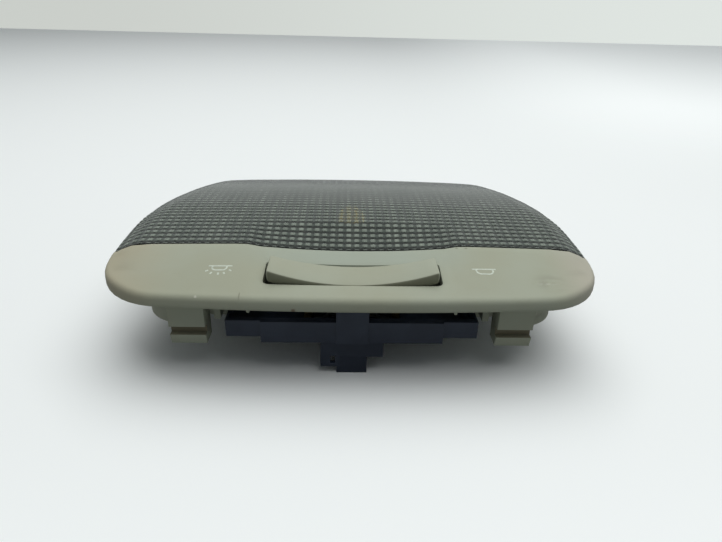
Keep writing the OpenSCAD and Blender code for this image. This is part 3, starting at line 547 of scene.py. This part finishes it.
smoked = lensFinish()
lensShell = meshObject("lensShell", *buildLens())
lensShell.data.materials.append(smoked.material)
shellWall = lensShell.modifiers.new("wall", "SOLIDIFY")
shellWall.thickness = prism["wall"] * mm
shellWall.offset = -1
with bpy.context.temp_override(object=lensShell, active_object=lensShell, selected_objects=[lensShell],
                               selected_editable_objects=[lensShell]):
    bpy.ops.object.shade_auto_smooth(angle=math.radians(prism["sharp"]))
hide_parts("lens")
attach(lensShell, "base")
print("lens done")

# Rocker: its rear edge stands higher at the middle, by rise
key = {"paintedShadeFrom": -43.9, "edge": 0.12, "half": 23.9, "front": -44.3, "rear": -34.1, "low": 28.0,
       "rise": 0.9}
# The rocker's front face gets painted shade, darker in front of the given y
rockerFinish = beige("rockerMoulding", False, key["paintedShadeFrom"])
rockerKey = dressed("rockerKey", "rocker", rockerFinish, "rocker", edge=key["edge"])
for v in rockerKey.data.vertices:
    if v.co.z > key["low"] * mm and abs(v.co.x) < key["half"] * mm:
        back = max(0, (v.co.y / mm - key["front"]) / (key["rear"] - key["front"])) ** 2
        v.co.z += key["rise"] * mm * back * (1 - (v.co.x / mm / key["half"]) ** 2)
print("rocker done")

# Dark carrier: its bar ends at barEnd, where the CAD part reaches beyond barFrom
carrier = {"first": linear(47, 55, 70), "second": linear(38, 45, 59), "roughness": 0.42,
           "edge": 0.2, "barFrom": 36.9, "barEnd": 36.0}


def darkFinish():
    finish = Finish("darkMoulding", Specular_IOR_Level=0.4)
    cloud = finish.noise(12.0, 3.0)
    finish.set(Base_Color=cloud.step(0.3, 0.7).mix(carrier["first"], carrier["second"]),
               Roughness=carrier["roughness"] + cloud * 0.15)
    finish.bump(finish.noise(0.4, 2.0), 0.012)
    return finish


carrierShell = dressed("carrierShell", "switch_carrier", darkFinish(), "base",
                       edge=carrier["edge"])
for v in carrierShell.data.vertices:
    if abs(v.co.x) > carrier["barFrom"] * mm:
        v.co.x = math.copysign(carrier["barEnd"] * mm, v.co.x)
print("carrier done")

# Metals: two colours, roughness and the stretch of their streaks
metals = {"stampedBrass": (linear(150, 134, 100), linear(122, 108, 78), 0.34, (1, 6, 1)),
          "springSteel": (linear(150, 152, 156), linear(120, 122, 126), 0.3, (1, 6, 1)),
          "reflectorSheet": (linear(228, 228, 224), linear(206, 207, 204), 0.2, (6, 1, 1)),
          "bulbWire": (linear(150, 148, 144), linear(120, 118, 112), 0.35, (1, 6, 1))}
# Bulb, with a faint painted glow in its glass, and the pale moulding of its holder
lamp = {"glass": (linear(244, 226, 110), linear(232, 208, 84)), "alpha": 0.85, "paintedGlow": 0.5,
        "holder": (linear(196, 188, 166), linear(176, 168, 148))}


def metalFinish(name, first, second, roughness, brushed):
    finish = Finish(name, Metallic=1.0)
    streak = finish.noise(1.4, 3.0, brushed)
    finish.set(Base_Color=streak.mix(first, second), Roughness=roughness + streak * 0.12)
    finish.bump(streak, 0.01)
    return finish


brass, spring, mirror, wire = [metalFinish(name, *values) for name, values in metals.items()]
pale = Finish("paleMoulding", Roughness=0.5)
pale.set(Base_Color=pale.noise(5.0).mix(*lamp["holder"]))
pale.bump(pale.noise(0.5), 0.015)
# Painted light: the amber glass glows faintly, standing in for light that falls on the bulb
bulb = Finish("amberGlass", Roughness=0.08, IOR=1.45, Alpha=lamp["alpha"], Emission_Strength=lamp["paintedGlow"])
amber = bulb.noise(4.0).mix(*lamp["glass"])
bulb.set(Base_Color=amber, Emission_Color=amber)

for name, node, finish, slot, rides in [
        ("reflectorTrough", "reflector", mirror, "reflector_metal", "base"),
        ("bulbHolder", "bulb_holder", pale, "pale_moulding", "base"),
        ("bulbEnvelope", "bulb_glass", bulb, "bulb_glass", "base"),
        ("bulbCoil", "bulb_filament", wire, "filament", "base"),
        ("bulbWires", "bulb_leads", wire, "filament", "base"),
        ("contactLeft", "bulb_contact_left", brass, "contact_brass", "base"),
        ("contactRight", "bulb_contact_right", brass, "contact_brass", "base"),
        ("supplyStrip", "terminal_supply", brass, "contact_brass", "base"),
        ("groundStrip", "terminal_ground", brass, "contact_brass", "base"),
        ("doorStrip", "terminal_door", brass, "contact_brass", "base"),
        ("switchStrip", "switch_strip", brass, "contact_brass", "base"),
        ("contactBridge", "contact_bridge", brass, "contact_brass", "rocker"),
        ("detentLeaf", "detent_leaf", spring, "spring_steel", "base"),
        ("rearClip", "rear_clip", spring, "spring_steel", "base"),
        ("screwLeft", "carrier_screw_left", spring, "spring_steel", "base"),
        ("screwRight", "carrier_screw_right", spring, "spring_steel", "base")]:
    dressed(name, node, finish, rides, edge=0.0 if "bulb" in node else copies["small"])
print("inner pieces done")

# Printed signs: width of a line, length of a ray and height over the skin, in millimetres
sign = {"line": 0.5, "ray": 0.9, "lift": 0.012, "colours": (linear(186, 194, 180), linear(206, 214, 200))}
signFinish = Finish("printedSigns", Roughness=0.55)
signFinish.set(Base_Color=signFinish.noise(0.5, 3.0).step(0.3, 0.75).mix(*sign["colours"]))


# Printed lines through points of the bezel, following its skin
def printedLines(name, lines):
    points, faces = [], []
    for line in lines:
        path = []
        for (x0, y0), (x1, y1) in zip(line, line[1:]):
            n = max(1, int(math.hypot(x1 - x0, y1 - y0) / 0.3))
            path += [(x0 + (x1 - x0) * i / n, y0 + (y1 - y0) * i / n) for i in range(n)]
        path.append(line[-1])
        first = len(points)
        for i, (x, y) in enumerate(path):
            a, b = path[max(0, i - 1)], path[min(len(path) - 1, i + 1)]
            length = math.hypot(b[0] - a[0], b[1] - a[1]) or 1.0
            nx, ny = -(b[1] - a[1]) / length, (b[0] - a[0]) / length
            for side in (-0.5, 0.5):
                px, py = x + side * sign["line"] * nx, y + side * sign["line"] * ny
                points.append((px * mm, py * mm, (float(skin(px, py)) + sign["lift"]) * mm))
        for i in range(len(path) - 1):
            k = first + 2 * i
            faces.append((k, k + 1, k + 3, k + 2))
    piece = meshObject(name, points, faces)
    piece.data.materials.append(signFinish.material)
    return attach(piece, "base")


# The lamp's shade: two sides and a bottom with rounded corners
def bowl(x0, x1, y0, y1):
    r = (x1 - x0) * 0.28
    path = [(x0, y0), (x0, y1 + r)]
    path += [(x0 + r - r * math.cos(a), y1 + r - r * math.sin(a)) for a in np.linspace(0, math.pi / 2, 6)]
    path += [(x1 - r + r * math.sin(a), y1 + r - r * math.cos(a)) for a in np.linspace(0, math.pi / 2, 6)]
    return path + [(x1, y0)]


def ray(x, y, angle):
    a = math.radians(angle)
    return [(x, y), (x + sign["ray"] * math.sin(a), y - sign["ray"] * math.cos(a))]


rays = [ray(-40.7, -39.5, -60), ray(-39.55, -40.3, -30), ray(-37.7, -40.5, 0), ray(-36.3, -40.3, 25),
        ray(-34.95, -39.3, 60)]
printedLines("lampSignLeft", [[(-40.9, -37.6), (-34.25, -37.6)], bowl(-39.8, -35.7, -37.6, -39.4)] + rays)
printedLines("lampSignRight", [[(34.1, -37.7), (41.0, -37.55)], bowl(35.3, 40.1, -37.7, -39.7)])
print("signs done")

# Stage: the camera sees the pale colours and a painted glow of light on the far right and the near front of
# the floor, light that bounces sees the others
stage = {"floor": (linear(150, 153, 152), linear(243, 247, 246)), "paintedGlow": (0.95, 1.0, 1.0, 1.0),
         "paintedGlowFar": 0.2, "paintedGlowNear": 0.05, "wall": (linear(202, 206, 201), linear(224, 230, 226)),
         "ambient": (0.17, 0.178, 0.185, 1.0), "mirrored": (0.62, 0.66, 0.64, 1.0),
         "lightAt": (0.09, 0.09, 0.85), "lightTo": (0, 0, 0.02), "lightSize": (1.3, 1.0), "power": 9.2}
floor = meshObject("floor", [(-3, -1, 0), (3, -1, 0), (3, 1.05, 0), (-3, 1.05, 0)], [(0, 1, 2, 3)], False)
floorFinish = Finish("floorPaper", Roughness=0.7)
seen = floorFinish.add("ShaderNodeLightPath", {}, output="Is Camera Ray")
# Painted light: the floor glows for the camera towards the far right and the near front
far = floorFinish.x.step(40.0, 340.0) * floorFinish.y.step(100.0, 420.0) * stage["paintedGlowFar"]
near = floorFinish.y.step(-50.0, -140.0) * stage["paintedGlowNear"]
paintedGlow = (seen * (far + near)).mix((0.0, 0.0, 0.0, 1.0), stage["paintedGlow"])
floorFinish.set(Base_Color=seen.mix(*stage["floor"]), Emission_Color=paintedGlow, Emission_Strength=1.0)
floor.data.materials.append(floorFinish.material)

world = bpy.data.worlds.new("studio")
scene.world = world
world.use_nodes = True
tree = world.node_tree
seen = addNode(tree, "ShaderNodeLightPath", {}, output="Is Camera Ray")
gloss = addNode(tree, "ShaderNodeLightPath", {}, output="Is Glossy Ray")
across = addNode(tree, "ShaderNodeSeparateXYZ", {}, addNode(tree, "ShaderNodeTexCoord", {}))
wall = across.step(-0.55, 0.6).mix(*stage["wall"])
unseen = gloss.mix(stage["ambient"], stage["mirrored"])
seen.mix(unseen, wall).feed(tree.nodes["Background"].inputs[0])

lightData = bpy.data.lights.new("topLight", "AREA")
lightData.shape = "RECTANGLE"
lightData.size, lightData.size_y = stage["lightSize"]
lightData.energy = stage["power"]
light = bpy.data.objects.new("topLight", lightData)
light.location = stage["lightAt"]
toTarget = Vector(stage["lightTo"]) - Vector(stage["lightAt"])
light.rotation_euler = toTarget.to_track_quat("-Z", "Y").to_euler()
light.visible_glossy = False
scene.collection.objects.link(light)

# Camera: place in millimetres, focal length in pixels of the photo, angles in degrees
view = {"place": (-2.533, -184.25, 105.3), "focal": 575, "photoWidth": 722, "sensor": 36,
        "yaw": 1.881, "pitch": 27.0, "roll": 1.591}
cameraData = bpy.data.cameras.new("camera")
cameraData.sensor_width = view["sensor"]
cameraData.lens = view["focal"] / view["photoWidth"] * view["sensor"]
camera = bpy.data.objects.new("camera", cameraData)
scene.collection.objects.link(camera)
scene.camera = camera
yaw, pitch, roll = (math.radians(view[name]) for name in ("yaw", "pitch", "roll"))
ahead = Vector((math.sin(yaw) * math.cos(pitch), math.cos(yaw) * math.cos(pitch), -math.sin(pitch)))
levelRight = Vector((math.cos(yaw), -math.sin(yaw), 0))
levelUp = levelRight.cross(ahead)
right = levelRight * math.cos(roll) + levelUp * math.sin(roll)
up = levelUp * math.cos(roll) - levelRight * math.sin(roll)
turn = Matrix((right, up, -ahead)).transposed()
camera.matrix_world = Matrix.Translation(Vector(view["place"]) * mm) @ turn.to_4x4()
print("stage done")
